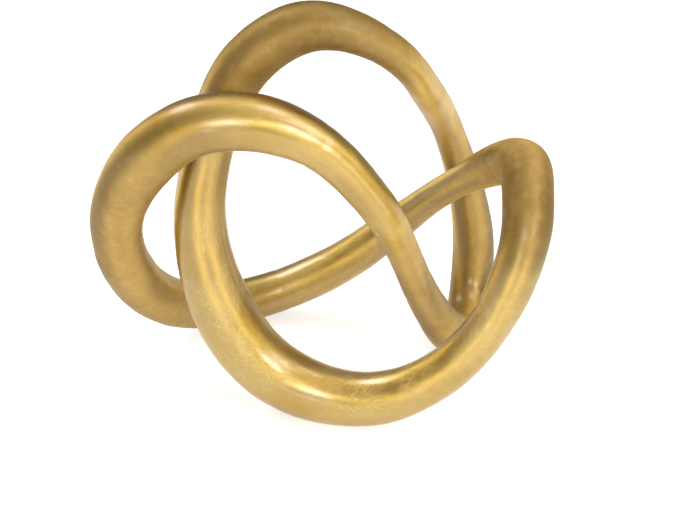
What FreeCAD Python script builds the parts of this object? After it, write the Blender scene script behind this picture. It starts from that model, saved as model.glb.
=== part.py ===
import FreeCAD, Part
import math
import os

# A tabletop knot of one closed metal bar, which swells and thins along its length.
# The bar can't be drawn from a mould in one piece, so it is cast as eight arcs.
# Their ends butt square and are bonded, lined up by steel dowels, and the joints are
# dressed flush. Three low places are ground flat to stand on.
# Millimetres. X runs across the front, Y to the back and Z up, from the middle of
# the outline at the level of the ground flats.

# Size over the finished metal
WIDTH = 142.2
DEPTH = 91.4
HEIGHT = 144.8

# Diameter of the bar at its fullest and at its slimmest
FULL_DIAMETER = 20.0
SLIM_DIAMETER = 9.8

# Depth that is ground off the lowest places
GROUND_DEPTH = 0.5

# Dowel pins and the blind holes that they sit in
DOWEL_DIAMETER = 4.0
DOWEL_LENGTH = 14.0
DOWEL_CLEARANCE = 0.05
DOWEL_END_CLEARANCE = 0.5

# How far the grinding block runs past the metal
OVERRUN = 1.0

# The bar runs straight from each of its round sections to the next. The next one
# comes before it has turned by more than this angle in degrees, or swelled or thinned
# in radius by more than this length. Its place is searched for in these steps.
SECTION_TURN = 16.0
SECTION_SWELL = 0.5
SEARCH_STEP = 0.25

# Equal arcs that make up each round section
SECTION_ARCS = 12

# Stations along the bar in the order of travel, from the top of the arch.
# Each row has the place of the bar between the left and right limits, between the
# front and back limits, and between the lowest and highest limits, and last its
# thickness between the slimmest and the fullest.
STATION_shares = [
    (0.500, 0.233, 0.996, 0.48),
    (0.640, 0.285, 0.927, 0.15),
    (0.740, 0.505, 0.758, 0.04),
    (0.820, 0.860, 0.510, 0.04),
    (0.885, 0.975, 0.265, 0.27),
    (0.900, 0.995, 0.120, 0.42),
    (0.890, 0.920, 0.035, 0.40),
    (0.875, 0.765, 0.000, 0.44),
    (0.746, 0.410, 0.240, 0.12),
    (0.688, 0.205, 0.445, 0.06),
    (0.618, 0.050, 0.620, 0.22),
    (0.495, 0.020, 0.760, 0.43),
    (0.365, 0.005, 0.822, 0.72),
    (0.220, 0.008, 0.815, 0.76),
    (0.096, 0.080, 0.715, 0.84),
    (0.012, 0.225, 0.532, 0.69),
    (0.015, 0.480, 0.270, 0.62),
    (0.115, 0.775, 0.065, 0.61),
    (0.235, 0.930, 0.002, 0.50),
    (0.400, 0.990, 0.030, 0.44),
    (0.580, 0.975, 0.135, 0.36),
    (0.725, 0.850, 0.305, 0.10),
    (0.870, 0.615, 0.490, 0.10),
    (0.993, 0.360, 0.600, 0.62),
    (0.999, 0.150, 0.585, 0.60),
    (0.991, 0.042, 0.525, 0.55),
    (0.968, 0.005, 0.445, 0.46),
    (0.920, 0.008, 0.325, 0.36),
    (0.790, 0.050, 0.130, 0.48),
    (0.590, 0.145, 0.006, 0.77),
    (0.385, 0.230, 0.040, 1.00),
    (0.238, 0.285, 0.250, 0.93),
    (0.209, 0.300, 0.495, 0.61),
    (0.242, 0.293, 0.690, 0.53),
    (0.333, 0.274, 0.897, 0.63),
]

# Each joint's station and the casting that follows it
JOINTS = [
    (1, "right_leg"),
    (8, "crossing_strand"),
    (11, "left_loop_top"),
    (15, "left_loop_side"),
    (19, "diagonal_bar"),
    (22, "right_lobe"),
    (27, "front_ring"),
    (31, "arch"),
]

# This casting closes the knot, so it goes in sideways, with no dowel at its ends
CLOSING_CASTING = "crossing_strand"


def station_centre(across_share, depth_share, height_share, diameter):
    """The middle of the bar at a station."""
    x = (across_share - 0.5) * (WIDTH - diameter)
    y = (depth_share - 0.5) * (DEPTH - diameter)
    z = diameter / 2 - GROUND_DEPTH + height_share * (HEIGHT + GROUND_DEPTH - diameter)
    return FreeCAD.Vector(x, y, z)


def closed_curve(points, marks):
    """A smooth closed curve that passes each point at its mark."""
    curve = Part.BSplineCurve()
    curve.interpolate(Points=points, PeriodicFlag=True, Parameters=marks)
    return curve


def travel_marks(points):
    """The distance travelled from point to point, round to the first again."""
    marks = [0.0]
    for here, there in zip(points, points[1:] + points[:1]):
        marks.append(marks[-1] + here.distanceToPoint(there))
    return marks


class Bar:
    """The closed bar: its path and its thickness along the way."""

    def __init__(self):
        thickness_range = FULL_DIAMETER - SLIM_DIAMETER
        diameters = [SLIM_DIAMETER + row[3] * thickness_range for row in STATION_shares]
        centres = [station_centre(*row[:3], width) for row, width in zip(STATION_shares, diameters)]
        self.marks = travel_marks(centres)
        self.path = closed_curve(centres, self.marks)
        # the thickness is the first coordinate of a curve over the same marks
        spread = [FreeCAD.Vector(width, mark, 0) for width, mark in zip(diameters, self.marks)]
        self.thickness = closed_curve(spread, self.marks)

    def radius(self, mark):
        return self.thickness.value(mark).x / 2

    def along(self, mark):
        """The bar's direction at a mark."""
        return self.path.tangent(mark)[0]

    def needs_section(self, start, end):
        """Whether the bar bends, swells or thins too much between two marks to run straight."""
        turn = math.degrees(self.along(start).getAngle(self.along(end)))
        swell = abs(self.radius(end) - self.radius(start))
        return turn > SECTION_TURN or swell > SECTION_SWELL

    def frame(self, mark, beside=None):
        """A placement with Z along the bar, twisted as little as can be from the one beside it."""
        start = beside.Rotation if beside else FreeCAD.Rotation()
        turn = FreeCAD.Rotation(start.multVec(FreeCAD.Vector(0, 0, 1)), self.along(mark))
        return FreeCAD.Placement(self.path.value(mark), turn * start)

    def section(self, mark, frame):
        """The bar's round outline in a frame, as a ring of equal arcs."""
        middle = FreeCAD.Vector()
        axis = FreeCAD.Vector(0, 0, 1)
        sweep = 360 / SECTION_ARCS
        arcs = []
        for number in range(SECTION_ARCS):
            start = number * sweep
            arcs.append(Part.makeCircle(self.radius(mark), middle, axis, start, start + sweep))
        outline = Part.Wire(arcs)
        outline.Placement = frame
        return outline


def section_marks(bar, start, end):
    """Marks from the start of a casting to its end, closer together in its bends."""
    steps = math.ceil((end - start) / SEARCH_STEP)
    places = [start + (end - start) * number / steps for number in range(1, steps)]
    marks = [start]
    last = start
    for place in places:
        if bar.needs_section(marks[-1], place):
            marks.append(last)
        last = place
    return marks + [end]


def cast_arc(bar, start, end):
    """One casting before it is drilled and ground: the bar from one joint to the next."""
    outlines = []
    frame = None
    for mark in section_marks(bar, start, end):
        frame = bar.frame(mark, frame)
        outlines.append(bar.section(mark, frame))
    return Part.makeLoft(outlines, True, True)


def cylinder_along(bar, mark, diameter, length):
    """A cylinder inside the bar, centred on a joint."""
    cylinder = Part.makeCylinder(diameter / 2, length, FreeCAD.Vector(0, 0, -length / 2))
    cylinder.Placement = bar.frame(mark)
    return cylinder


def dowel(bar, mark):
    """A steel pin, half in each casting."""
    return cylinder_along(bar, mark, DOWEL_DIAMETER, DOWEL_LENGTH)


def dowel_hole(bar, mark):
    """The room for a dowel in both castings."""
    diameter = DOWEL_DIAMETER + 2 * DOWEL_CLEARANCE
    return cylinder_along(bar, mark, diameter, DOWEL_LENGTH + 2 * DOWEL_END_CLEARANCE)


def ground_away():
    """The block below the standing level, which the grinding takes away."""
    corner = FreeCAD.Vector(-WIDTH / 2 - OVERRUN, -DEPTH / 2 - OVERRUN, -GROUND_DEPTH - OVERRUN)
    return Part.makeBox(
        WIDTH + 2 * OVERRUN,
        DEPTH + 2 * OVERRUN,
        GROUND_DEPTH + OVERRUN,
        corner,
    )


def build():
    """Every piece of the knot by its name."""
    bar = Bar()
    names = [name for station, name in JOINTS]
    starts = [bar.marks[station] for station, name in JOINTS]
    round_length = bar.marks[-1]
    ends = starts[1:] + [starts[0] + round_length]
    pinned = []
    for before, after, mark in zip(names[-1:] + names, names, starts):
        if CLOSING_CASTING not in (before, after):
            pinned.append(mark)
    waste = Part.makeCompound([dowel_hole(bar, mark) for mark in pinned] + [ground_away()])
    pieces = {}
    for name, start, end in zip(names, starts, ends):
        pieces[name] = cast_arc(bar, start, end).cut(waste)
    pieces["dowel_pins"] = Part.makeCompound([dowel(bar, mark) for mark in pinned])
    return pieces


os.makedirs("parts", exist_ok=True)
for name, piece in build().items():
    piece.exportStep("parts/" + name + ".step")
    print(name, len(piece.Solids), piece.isValid(), round(piece.Volume, 1))
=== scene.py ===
import math

import bpy
import numpy as np
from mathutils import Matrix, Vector, noise


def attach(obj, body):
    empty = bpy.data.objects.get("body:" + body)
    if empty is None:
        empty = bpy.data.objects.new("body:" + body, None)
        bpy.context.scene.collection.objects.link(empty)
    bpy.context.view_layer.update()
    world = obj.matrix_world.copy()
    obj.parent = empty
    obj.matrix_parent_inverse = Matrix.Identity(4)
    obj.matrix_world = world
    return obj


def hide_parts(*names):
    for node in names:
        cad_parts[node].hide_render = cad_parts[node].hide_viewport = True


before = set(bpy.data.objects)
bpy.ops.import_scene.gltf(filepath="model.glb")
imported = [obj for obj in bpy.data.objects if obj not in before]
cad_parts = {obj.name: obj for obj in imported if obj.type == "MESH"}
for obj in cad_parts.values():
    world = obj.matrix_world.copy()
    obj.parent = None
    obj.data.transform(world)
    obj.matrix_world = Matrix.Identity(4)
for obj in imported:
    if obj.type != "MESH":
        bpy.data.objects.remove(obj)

# The knot's finished surface: one closed bar that swells and thins, dressed by hand
# and coated in satin gold. Metres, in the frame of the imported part: X runs across the
# front, Y to the back, and Z up from the standing level.

MM = 0.001

# Size over the finished metal, the bar's thickness, and the depth ground off its feet
WIDTH = 142.2 * MM
DEPTH = 91.4 * MM
HEIGHT = 144.8 * MM
FULL_DIAMETER = 20.0 * MM
SLIM_DIAMETER = 9.8 * MM
GROUND_DEPTH = 0.5 * MM

# Fineness of the surface, and the distance over which the bar's direction is taken
RING_STEP = 0.8 * MM
SPOKES = 96
DIRECTION_STEP = 0.1 * MM

# Size and depth of the lumps that the hand dressing left
BROAD_LUMP = 17.0 * MM
BROAD_DEPTH = 0.30 * MM
SMALL_LUMP = 6.0 * MM
SMALL_DEPTH = 0.10 * MM

# Faint dip at each joint, and the share of its depth that doesn't vary round the bar
SEAM_WIDTH = 1.3 * MM
SEAM_DEPTH = 0.16 * MM
SEAM_EVEN_share = 0.5

# Noise patterns: repeats per metre, or per unit of a stretched pattern, then detail
# and roughness
CLOUDS = (55.0, 4.0, 0.5)
FLECKS = (320.0, 4.0, 0.6)
GRAIN = (150.0, 2.0, 0.5)
BRUSHING = (1.0, 5.0, 0.65)
HAIRLINES = (1.0, 2.0, 0.5)
STEEL_GRAIN = (900.0, 4.0, 0.5)
FLOOR_GRAIN = (40.0, 3.0, 0.5)
PITS_PER_METRE = 130.0

# Repeats round and along the bar, and the angle in degrees to the way round it. One
# turn counts as this many millimetres, and the way along is in millimetres.
TURN_LENGTH = 40.0
BRUSHING_STRETCH = (3.2, 0.22, 1.0)
BRUSHING_ANGLE = 8.0
HAIRLINE_STRETCH = (2.6, 0.22, 1.0)
HAIRLINE_ANGLES = (34.0, -28.0)

# The part of each pattern's range that shows
MIDDLE_RANGE = (0.3, 0.7)
CLOUD_RANGE = (0.35, 0.65)
FLECK_RANGE = (0.45, 0.75)
HAIRLINE_RANGE = (0.54, 0.66)
HAIRLINE_CLOUD_RANGE = (0.42, 0.56)
HAIRLINE_POLISH_RANGE = (0.6, 1.0)
PIT_RANGE = (0.0, 0.06)
FULL_RANGE = (0.0, 1.0)

# Gold where it is matte and where it is burnished, each darker and lighter in clouds. The matte
# gold is also made darker as painted shade, and the burnished gold lighter as painted
# highlight.
MATTE_SHADED_COLOURS = ((0.37, 0.232, 0.065), (0.44, 0.292, 0.100))
SATIN_LIT_COLOURS = ((0.56, 0.346, 0.036), (0.66, 0.438, 0.072))
FLECK_COLOUR = (0.80, 0.59, 0.24)
FLECK_STRENGTH = 0.25
HAIRLINE_COLOUR = (0.90, 0.72, 0.40)
HAIRLINE_STRENGTH = 0.27

# Roughness from matte to burnished, and how far the brushing and flecks change it
POLISH_ROUGHNESS = (0.92, 0.47)
BRUSHING_ROUGHNESS = (-0.05, 0.05)
FLECK_ROUGHNESS = (-0.04, 0.04)

# The clear coat, and how far the brushing draws highlights out along the bar
COAT_WEIGHT = 0.72
COAT_ROUGHNESS = 0.28
COAT_IOR = 2.0
DRAWN_OUT = 0.88
QUARTER_TURN = 0.25

# Bump: strength and depth. A negative depth sinks where the pattern is high.
GRAIN_BUMP = (0.35, 0.5 * MM)
BRUSHING_BUMP = (0.35, 0.09 * MM)
HAIRLINE_BUMP = (0.8, -0.10 * MM)
PIT_BUMP = (0.60, 0.14 * MM)

# Steel of the hidden dowels
STEEL_COLOURS = ((0.48, 0.48, 0.50), (0.62, 0.62, 0.64))
STEEL_ROUGHNESS = (0.22, 0.36)

# The floor: its half width, its paint, and the glow that only the camera and that only
# the metal's reflections see
FLOOR_REACH = 4.0
FLOOR_COLOURS = ((0.69, 0.69, 0.69), (0.71, 0.71, 0.71))
SEEN_GLOW = 0.56
MIRRORED_GLOW = 0.35

# Lamps: azimuth and elevation in degrees, width and height in metres, power in watts.
# Azimuth is 0 on the camera's side and grows to the right.
LAMP_DISTANCE = 0.85
LAMPS = [
    ("key_lamp", 35.0, 24.0, 0.26, 0.24, 2.4),
    ("front_lamp", -9.0, 26.0, 0.24, 0.20, 2.3),
    ("low_lamp", -15.0, 2.0, 0.16, 0.10, 0.5),
    ("right_lamp", 66.0, 42.0, 0.40, 0.36, 2.2),
    ("top_lamp", 98.0, 70.0, 0.34, 0.30, 1.6),
    ("back_lamp", -125.0, 42.0, 0.34, 0.34, 3.2),
]

# The room is paler overhead: strengths at two heights of the direction looked in
ROOM_HEIGHTS = (0.05, 0.75)
ROOM_STRENGTHS = (0.13, 0.48)

# The camera, from the photograph's outline
CAMERA_PLACE = Vector((6.17, -652.66, 438.6)) * MM
CAMERA_PITCH = math.radians(31.01)
CAMERA_LENS = 126.55
SENSOR_WIDTH = 36.0
NEAREST_SEEN = 0.01

# Sockets of Blender's Map Range node, and the colour ones of its Mix node
RANGE_SOCKETS = ("From Min", "From Max", "To Min", "To Max")
MIX_COLOUR_INPUTS = (6, 7)
MIX_COLOUR_OUTPUT = 2

# Stations along the bar: shares of the width, depth, height and thickness
STATION_shares = [
    (0.500, 0.233, 0.996, 0.48),
    (0.640, 0.285, 0.927, 0.15),
    (0.740, 0.505, 0.758, 0.04),
    (0.820, 0.860, 0.510, 0.04),
    (0.885, 0.975, 0.265, 0.27),
    (0.900, 0.995, 0.120, 0.42),
    (0.890, 0.920, 0.035, 0.40),
    (0.875, 0.765, 0.000, 0.44),
    (0.746, 0.410, 0.240, 0.12),
    (0.688, 0.205, 0.445, 0.06),
    (0.618, 0.050, 0.620, 0.22),
    (0.495, 0.020, 0.760, 0.43),
    (0.365, 0.005, 0.822, 0.72),
    (0.220, 0.008, 0.815, 0.76),
    (0.096, 0.080, 0.715, 0.84),
    (0.012, 0.225, 0.532, 0.69),
    (0.015, 0.480, 0.270, 0.62),
    (0.115, 0.775, 0.065, 0.61),
    (0.235, 0.930, 0.002, 0.50),
    (0.400, 0.990, 0.030, 0.44),
    (0.580, 0.975, 0.135, 0.36),
    (0.725, 0.850, 0.305, 0.10),
    (0.870, 0.615, 0.490, 0.10),
    (0.993, 0.360, 0.600, 0.62),
    (0.999, 0.150, 0.585, 0.60),
    (0.991, 0.042, 0.525, 0.55),
    (0.968, 0.005, 0.445, 0.46),
    (0.920, 0.008, 0.325, 0.36),
    (0.790, 0.050, 0.130, 0.48),
    (0.590, 0.145, 0.006, 0.77),
    (0.385, 0.230, 0.040, 1.00),
    (0.238, 0.285, 0.250, 0.93),
    (0.209, 0.300, 0.495, 0.61),
    (0.242, 0.293, 0.690, 0.53),
    (0.333, 0.274, 0.897, 0.63),
]

# How far the coating is burnished at each station, from matte to satin. The same share mixes
# the darker matte gold, which is painted shade, with the lighter satin gold, which is painted
# highlight.
POLISH_AND_PAINTED_LIGHT_shares = [
    0.05, 0.25, 0.80, 0.70, 0.50, 0.45, 0.45, 0.45, 0.45, 0.60, 0.90, 1.00,
    0.90, 0.60, 0.35, 0.35, 0.40, 0.40, 0.50, 0.80, 0.95, 0.90, 0.50, 0.05,
    0.00, 0.20, 0.85, 0.95, 1.00, 1.00, 1.00, 1.00, 1.00, 0.85, 0.10,
]

# Each joint's station and the casting that follows it
JOINTS = [
    (1, "right_leg"),
    (8, "crossing_strand"),
    (11, "left_loop_top"),
    (15, "left_loop_side"),
    (19, "diagonal_bar"),
    (22, "right_lobe"),
    (27, "front_ring"),
    (31, "arch"),
]


def station(across_share, depth_share, height_share, thickness_share):
    """The middle of the bar at a station, and its radius there."""
    diameter = SLIM_DIAMETER + thickness_share * (FULL_DIAMETER - SLIM_DIAMETER)
    x = (across_share - 0.5) * (WIDTH - diameter)
    y = (depth_share - 0.5) * (DEPTH - diameter)
    z = diameter / 2 - GROUND_DEPTH + height_share * (HEIGHT + GROUND_DEPTH - diameter)
    return x, y, z, diameter / 2


class ClosedBar:
    """A smooth closed run through the stations, by the distance travelled."""

    def __init__(self):
        self.values = np.array([station(*row) for row in STATION_shares])
        following = np.roll(self.values, -1, axis=0)
        spans = np.linalg.norm((following - self.values)[:, :3], axis=1)
        self.marks = np.concatenate([[0.0], np.cumsum(spans)])
        self.length = self.marks[-1]
        self.polish_and_painted_light_shares = POLISH_AND_PAINTED_LIGHT_shares + POLISH_AND_PAINTED_LIGHT_shares[:1]
        # a periodic cubic spline, by its second derivatives at the stations
        before = np.roll(spans, 1)
        slopes = (following - self.values) / spans[:, None]
        count = len(spans)
        system = np.zeros((count, count))
        for row in range(count):
            system[row, row - 1] += before[row]
            system[row, row] += 2 * (before[row] + spans[row])
            system[row, (row + 1) % count] += spans[row]
        self.bends = np.linalg.solve(system, 6 * (slopes - np.roll(slopes, 1, axis=0)))

    def at(self, mark):
        """The middle of the bar at a mark, and its radius."""
        mark = mark % self.length
        here = int(np.searchsorted(self.marks, mark, side="right")) - 1
        there = (here + 1) % len(self.values)
        span = self.marks[here + 1] - self.marks[here]
        left = (self.marks[here + 1] - mark) / span
        right = 1 - left
        bend = (left**3 - left) * self.bends[here] + (right**3 - right) * self.bends[there]
        value = left * self.values[here] + right * self.values[there] + bend * span**2 / 6
        return Vector(value[:3]), value[3]

    def polish_and_painted_light(self, mark):
        """How far the coating is burnished at a mark, which also sets the painted shade or
        highlight in its gold.
        """
        return float(np.interp(mark % self.length, self.marks, self.polish_and_painted_light_shares))

    def along(self, mark):
        """The bar's direction at a mark."""
        ahead = self.at(mark + DIRECTION_STEP)[0]
        behind = self.at(mark - DIRECTION_STEP)[0]
        return (ahead - behind).normalized()


bar = ClosedBar()
joint_marks = [bar.marks[index] for index, name in JOINTS]


def lump(point, mark):
    """How far the hand-dressed surface stands off the true round."""
    broad = BROAD_DEPTH * noise.noise(point / BROAD_LUMP)
    small = SMALL_DEPTH * noise.noise(point / SMALL_LUMP)
    mark = mark % bar.length
    reach = min(abs(mark - joint) for joint in joint_marks)
    seam = SEAM_DEPTH * math.exp(-((reach / SEAM_WIDTH) ** 2))
    return broad + small - seam * (SEAM_EVEN_share + noise.noise(point / SMALL_LUMP))


def ring_points(mark, side, across):
    """The surface's points round the bar at a mark, no lower than the ground flats."""
    middle, radius = bar.at(mark)
    points = []
    for spoke in range(SPOKES):
        angle = 2 * math.pi * spoke / SPOKES
        out = side * math.cos(angle) + across * math.sin(angle)
        point = middle + out * radius
        point += out * lump(point, mark)
        point.z = max(point.z, 0.0)
        points.append(point)
    return points


def skin_rings(start, end):
    """The points of a skin, ring by ring from one joint to the next, and the rings' marks."""
    rings = math.ceil((end - start) / RING_STEP)
    along = bar.along(start)
    side = along.orthogonal().normalized()
    points = []
    marks = []
    for ring in range(rings + 1):
        mark = start + (end - start) * ring / rings
        side.rotate(along.rotation_difference(bar.along(mark)))
        along = bar.along(mark)
        points += ring_points(mark, side, along.cross(side))
        marks.append(mark)
    return points, marks


def skin_faces(marks):
    """The faces between rings, and where each corner is round and along the bar."""
    faces = []
    places = []
    for ring, (mark, next_mark) in enumerate(zip(marks, marks[1:])):
        near = ring * SPOKES
        far = near + SPOKES
        for spoke in range(SPOKES):
            after = (spoke + 1) % SPOKES
            faces.append((near + spoke, near + after, far + after, far + spoke))
            turn = spoke / SPOKES
            next_turn = (spoke + 1) / SPOKES
            places += [
                (turn, mark / MM),
                (next_turn, mark / MM),
                (next_turn, next_mark / MM),
                (turn, next_mark / MM),
            ]
    return faces, places


def add_ends(points, faces, places):
    """Flat faces at both ends of a skin, with points of their own so that they stay flat."""
    first_end = len(points)
    last_end = first_end + SPOKES
    points += points[:SPOKES] + points[-SPOKES:]
    faces.append(tuple(range(first_end + SPOKES - 1, first_end - 1, -1)))
    faces.append(tuple(range(last_end, last_end + SPOKES)))
    places += [(0.0, 0.0)] * (2 * SPOKES)


def finished_surface(name, start, end, material):
    """The coated skin of one casting, which stands for its node."""
    points, marks = skin_rings(start, end)
    faces, places = skin_faces(marks)
    add_ends(points, faces, places)
    # burnish per ring, which also places the painted shade and painted highlight in the gold's
    # colour
    polish_and_painted_light = []
    for mark in marks + [marks[0], marks[-1]]:
        polish_and_painted_light += [bar.polish_and_painted_light(mark)] * SPOKES
    mesh = bpy.data.meshes.new(name + "_finish")
    mesh.from_pydata([tuple(point) for point in points], [], faces)
    layer = mesh.uv_layers.new(name="around_and_along")
    layer.data.foreach_set("uv", np.array(places, dtype=np.float32).ravel())
    mesh.attributes.new("polish_and_painted_light", "FLOAT", "POINT").data.foreach_set("value", polish_and_painted_light)
    mesh.shade_smooth()
    mesh.materials.append(material)
    piece = bpy.data.objects.new(name + "_finish", mesh)
    bpy.context.scene.collection.objects.link(piece)
    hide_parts(name)
    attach(piece, "root")


class Nodes:
    """Short calls that add nodes to a material or to the world."""

    def __init__(self, owner):
        owner.use_nodes = True
        self.tree = owner.node_tree

    def add(self, kind, **settings):
        node = self.tree.nodes.new(kind)
        for key, value in settings.items():
            setattr(node, key, value)
        return node

    def link(self, output, target):
        self.tree.links.new(output, target)

    def coordinates(self, output):
        return self.add("ShaderNodeTexCoord").outputs[output]

    def noise(self, vector, scale, detail, roughness):
        node = self.add("ShaderNodeTexNoise")
        node.inputs["Scale"].default_value = scale
        node.inputs["Detail"].default_value = detail
        node.inputs["Roughness"].default_value = roughness
        self.link(vector, node.inputs["Vector"])
        return node.outputs["Fac"]

    def pits(self, vector):
        """Round hollows, from minus one at the middle to zero at the rim and outside."""
        node = self.add("ShaderNodeTexVoronoi")
        node.inputs["Scale"].default_value = PITS_PER_METRE
        self.link(vector, node.inputs["Vector"])
        return self.ranged(node.outputs["Distance"], PIT_RANGE, (-1.0, 0.0))

    def placed(self, vector, scale, angle=0.0):
        """The vector turned, then scaled, so that a stretched pattern lies at the angle."""
        node = self.add("ShaderNodeMapping", vector_type="TEXTURE")
        node.inputs["Scale"].default_value = [1 / number for number in scale]
        node.inputs["Rotation"].default_value = (0.0, 0.0, math.radians(angle))
        self.link(vector, node.inputs["Vector"])
        return node.outputs["Vector"]

    def ranged(self, value, part, becomes=FULL_RANGE):
        """The value's part of its range, spread over another range."""
        node = self.add("ShaderNodeMapRange")
        for socket, number in zip(RANGE_SOCKETS, part + becomes):
            node.inputs[socket].default_value = number
        self.link(value, node.inputs["Value"])
        return node.outputs["Result"]

    def combined(self, operation, first, second):
        """A sum, product or maximum of two values, each an output or a number."""
        node = self.add("ShaderNodeMath", operation=operation)
        for socket, value in zip(node.inputs, (first, second)):
            if isinstance(value, float):
                socket.default_value = value
            else:
                self.link(value, socket)
        return node.outputs["Value"]

    def mixed(self, amount, first, second):
        """A mix of two colours, each an output or a colour."""
        node = self.add("ShaderNodeMix", data_type="RGBA")
        self.link(amount, node.inputs["Factor"])
        for index, value in zip(MIX_COLOUR_INPUTS, (first, second)):
            if isinstance(value, tuple):
                node.inputs[index].default_value = (*value, 1.0)
            else:
                self.link(value, node.inputs[index])
        return node.outputs[MIX_COLOUR_OUTPUT]

    def bump(self, height, strength, distance, normal=None):
        node = self.add("ShaderNodeBump")
        node.inputs["Strength"].default_value = strength
        node.inputs["Distance"].default_value = distance
        self.link(height, node.inputs["Height"])
        if normal:
            self.link(normal, node.inputs["Normal"])
        return node.outputs["Normal"]


def new_material(name):
    """A material with only its shader, and short calls that add nodes to it."""
    material = bpy.data.materials.new(name)
    nodes = Nodes(material)
    return material, nodes, nodes.tree.nodes["Principled BSDF"]


def hairlines(nodes, around, clouds, polish_and_painted_light):
    """Sparse fine scratches both ways across the bar, in patches where it is burnished."""
    ways = []
    for angle in HAIRLINE_ANGLES:
        lines = nodes.noise(nodes.placed(around, HAIRLINE_STRETCH, angle), *HAIRLINES)
        ways.append(nodes.ranged(lines, HAIRLINE_RANGE))
    patches = nodes.ranged(clouds, HAIRLINE_CLOUD_RANGE)
    burnished = nodes.ranged(polish_and_painted_light, HAIRLINE_POLISH_RANGE)
    shown = nodes.combined("MULTIPLY", patches, burnished)
    return nodes.combined("MULTIPLY", nodes.combined("MAXIMUM", *ways), shown)


def gold_material():
    """Satin gold coating over dressed metal, with brush marks, hairlines and pits, and with
    painted shade and painted highlight in its colour.
    """
    material, nodes, shader = new_material("brushed_gold")
    solid = nodes.coordinates("Object")
    around = nodes.placed(nodes.coordinates("UV"), (TURN_LENGTH, 1.0, 1.0))
    polish_and_painted_light = nodes.add("ShaderNodeAttribute", attribute_name="polish_and_painted_light").outputs["Fac"]
    clouds = nodes.noise(solid, *CLOUDS)
    flecks = nodes.noise(solid, *FLECKS)
    brushing = nodes.placed(around, BRUSHING_STRETCH, BRUSHING_ANGLE)
    brushing = nodes.noise(brushing, *BRUSHING)
    hairs = hairlines(nodes, around, clouds, polish_and_painted_light)

    shader.inputs["Metallic"].default_value = 1.0
    shader.inputs["Coat Roughness"].default_value = COAT_ROUGHNESS
    shader.inputs["Coat IOR"].default_value = COAT_IOR
    coat = nodes.ranged(polish_and_painted_light, FULL_RANGE, (0.0, COAT_WEIGHT))
    nodes.link(coat, shader.inputs["Coat Weight"])

    # brushing runs round the bar, which draws each highlight out along it
    shader.inputs["Anisotropic"].default_value = DRAWN_OUT
    shader.inputs["Anisotropic Rotation"].default_value = QUARTER_TURN
    tangent = nodes.add("ShaderNodeTangent", direction_type="UV_MAP", uv_map="around_and_along")
    nodes.link(tangent.outputs["Tangent"], shader.inputs["Tangent"])

    shade = nodes.ranged(clouds, CLOUD_RANGE)
    matte_shaded = nodes.mixed(shade, *MATTE_SHADED_COLOURS)
    satin_lit = nodes.mixed(shade, *SATIN_LIT_COLOURS)
    # painted light: the burnish share mixes the darker matte gold, which stands for shade, with
    # the lighter satin gold, which stands for highlight
    gold = nodes.mixed(polish_and_painted_light, matte_shaded, satin_lit)
    fleck_amount = nodes.ranged(flecks, FLECK_RANGE, (0.0, FLECK_STRENGTH))
    gold = nodes.mixed(fleck_amount, gold, FLECK_COLOUR)
    hair_amount = nodes.ranged(hairs, FULL_RANGE, (0.0, HAIRLINE_STRENGTH))
    gold = nodes.mixed(hair_amount, gold, HAIRLINE_COLOUR)
    nodes.link(gold, shader.inputs["Base Color"])

    wear = nodes.combined(
        "ADD",
        nodes.ranged(brushing, MIDDLE_RANGE, BRUSHING_ROUGHNESS),
        nodes.ranged(flecks, MIDDLE_RANGE, FLECK_ROUGHNESS),
    )
    wear = nodes.combined("ADD", wear, nodes.ranged(polish_and_painted_light, FULL_RANGE, POLISH_ROUGHNESS))
    nodes.link(wear, shader.inputs["Roughness"])

    normal = nodes.bump(nodes.noise(solid, *GRAIN), *GRAIN_BUMP)
    normal = nodes.bump(brushing, *BRUSHING_BUMP, normal)
    normal = nodes.bump(hairs, *HAIRLINE_BUMP, normal)
    normal = nodes.bump(nodes.pits(solid), *PIT_BUMP, normal)
    nodes.link(normal, shader.inputs["Normal"])
    return material


def steel_material():
    """Ground steel of the hidden dowels."""
    material, nodes, shader = new_material("ground_steel")
    shader.inputs["Metallic"].default_value = 1.0
    grain = nodes.noise(nodes.coordinates("Object"), *STEEL_GRAIN)
    nodes.link(nodes.mixed(grain, *STEEL_COLOURS), shader.inputs["Base Color"])
    roughness = nodes.ranged(grain, MIDDLE_RANGE, STEEL_ROUGHNESS)
    nodes.link(roughness, shader.inputs["Roughness"])
    return material


def floor_material():
    """Plain white, which shows white to the camera and in the metal and keeps a shadow."""
    material, nodes, shader = new_material("white_floor")
    output = nodes.tree.nodes["Material Output"]
    nodes.tree.nodes.remove(shader)
    paint = nodes.add("ShaderNodeBsdfDiffuse")
    grain = nodes.noise(nodes.coordinates("Object"), *FLOOR_GRAIN)
    nodes.link(nodes.mixed(grain, *FLOOR_COLOURS), paint.inputs["Color"])
    glow = nodes.add("ShaderNodeEmission")
    path = nodes.add("ShaderNodeLightPath").outputs
    seen = nodes.combined("MULTIPLY", path["Is Camera Ray"], SEEN_GLOW)
    mirrored = nodes.combined("MULTIPLY", path["Is Glossy Ray"], MIRRORED_GLOW)
    nodes.link(nodes.combined("ADD", seen, mirrored), glow.inputs["Strength"])
    total = nodes.add("ShaderNodeAddShader")
    nodes.link(paint.outputs["BSDF"], total.inputs[0])
    nodes.link(glow.outputs["Emission"], total.inputs[1])
    nodes.link(total.outputs["Shader"], output.inputs["Surface"])
    return material


def floor():
    """A wide level floor at the standing level."""
    reach = FLOOR_REACH
    corners = [(-reach, -reach, 0), (reach, -reach, 0), (reach, reach, 0), (-reach, reach, 0)]
    mesh = bpy.data.meshes.new("floor")
    mesh.from_pydata(corners, [], [(0, 1, 2, 3)])
    mesh.materials.append(floor_material())
    ground = bpy.data.objects.new("floor", mesh)
    bpy.context.scene.collection.objects.link(ground)


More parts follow.
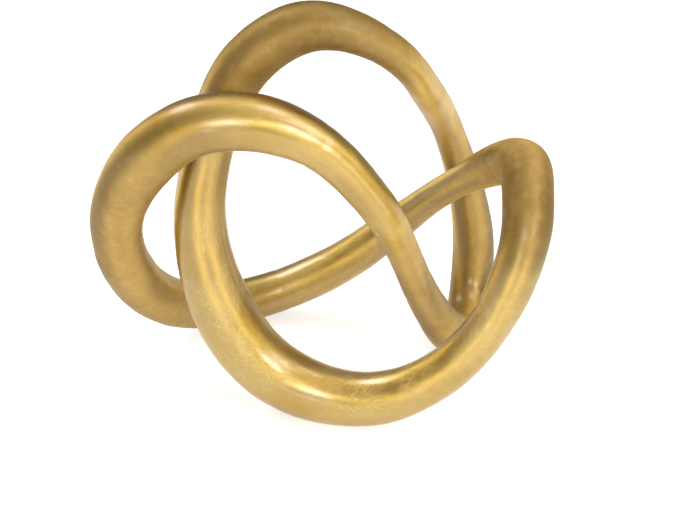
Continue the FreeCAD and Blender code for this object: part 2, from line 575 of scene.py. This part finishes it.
def lamp(name, azimuth, elevation, width, height, power):
    """A softbox that faces the knot and that the camera doesn't see."""
    light = bpy.data.lights.new(name, "AREA")
    light.shape = "RECTANGLE"
    light.size = width
    light.size_y = height
    light.energy = power
    turn = math.radians(azimuth)
    rise = math.radians(elevation)
    level = math.cos(rise)
    away = Vector((math.sin(turn) * level, -math.cos(turn) * level, math.sin(rise)))
    holder = bpy.data.objects.new(name, light)
    holder.location = Vector((0.0, 0.0, HEIGHT / 2)) + away * LAMP_DISTANCE
    holder.rotation_euler = away.to_track_quat("Z", "Y").to_euler()
    holder.visible_camera = False
    bpy.context.scene.collection.objects.link(holder)


def room():
    """A plain white room that is paler overhead than at the horizon."""
    world = bpy.data.worlds.new("pale_room")
    nodes = Nodes(world)
    height = nodes.add("ShaderNodeSeparateXYZ")
    nodes.link(nodes.coordinates("Generated"), height.inputs["Vector"])
    strength = nodes.ranged(height.outputs["Z"], ROOM_HEIGHTS, ROOM_STRENGTHS)
    background = nodes.tree.nodes["Background"]
    background.inputs["Color"].default_value = (1.0, 1.0, 1.0, 1.0)
    nodes.link(strength, background.inputs["Strength"])
    bpy.context.scene.world = world


def camera():
    """The photograph's camera, which looks straight to the back and down."""
    lens = bpy.data.cameras.new("camera")
    lens.lens = CAMERA_LENS
    lens.sensor_width = SENSOR_WIDTH
    lens.sensor_fit = "HORIZONTAL"
    lens.clip_start = NEAREST_SEEN
    holder = bpy.data.objects.new("camera", lens)
    holder.location = CAMERA_PLACE
    holder.rotation_euler = (math.pi / 2 - CAMERA_PITCH, 0.0, 0.0)
    bpy.context.scene.collection.objects.link(holder)
    bpy.context.scene.camera = holder


def dress():
    """The coated skins in place of the castings, and steel on the dowels."""
    gold = gold_material()
    ends = joint_marks[1:] + [joint_marks[0] + bar.length]
    for (index, name), start, end in zip(JOINTS, joint_marks, ends):
        finished_surface(name, start, end, gold)
    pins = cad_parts["dowel_pins"]
    pins.data.materials.clear()
    pins.data.materials.append(steel_material())


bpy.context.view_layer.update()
dress()
floor()
for values in LAMPS:
    lamp(*values)
room()
camera()
bpy.context.scene.view_settings.view_transform = "Standard"
